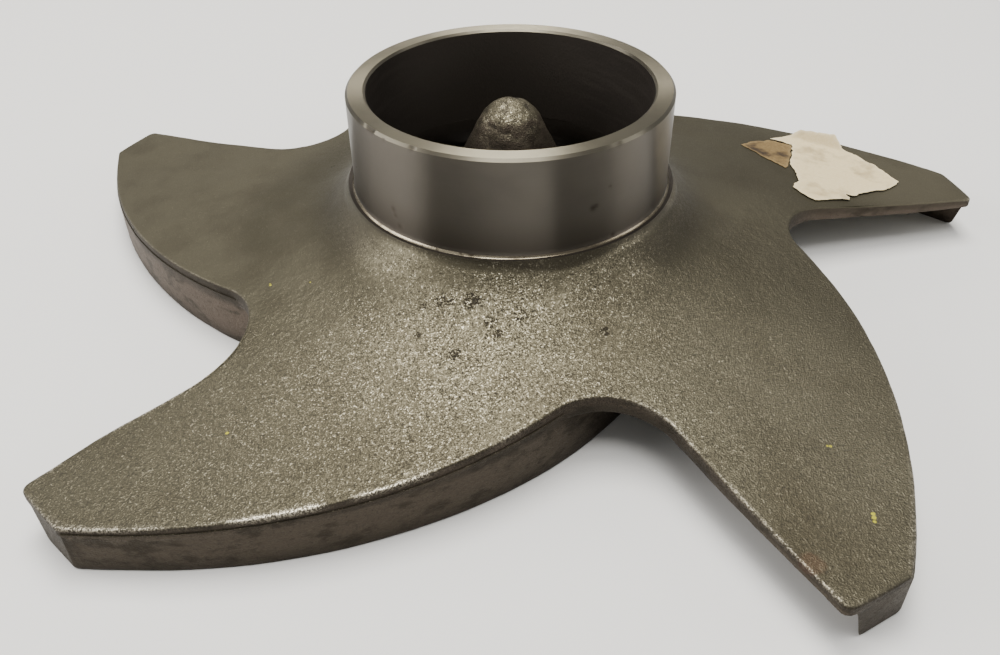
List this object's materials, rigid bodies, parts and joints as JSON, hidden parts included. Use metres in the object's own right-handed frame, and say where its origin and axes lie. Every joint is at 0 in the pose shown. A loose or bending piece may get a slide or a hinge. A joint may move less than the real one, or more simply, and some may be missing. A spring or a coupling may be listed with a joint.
{
  "type": "pump impeller",
  "caption": "Open-backed reverse vane impeller for a process pump: a star-shaped cast disc with a turned suction neck, curved vanes beneath and a blind shaft bore.",
  "frame": {"origin": "centre of the flat end of the blind shaft bore, on the axis", "axes": "+Z along the shaft axis, out of the suction neck; +X through the middle of the tip of the labelled arm; +Y completes the frame and is the longest extent"},
  "size_m": [0.3043, 0.3188, 0.0685],
  "materials": {
    "cast_steel": "rough sand-cast stainless steel, worn and greasy, with a turned satin neck",
    "cream_paper": "torn, grubby, matt",
    "brown_paper": "torn kraft backing, matt"
  },
  "bodies": {
    "root": {"impeller_casting": "cast_steel", "paper_label": "cream_paper", "kraft_flap": "brown_paper"}
  },
  "joints": []
}
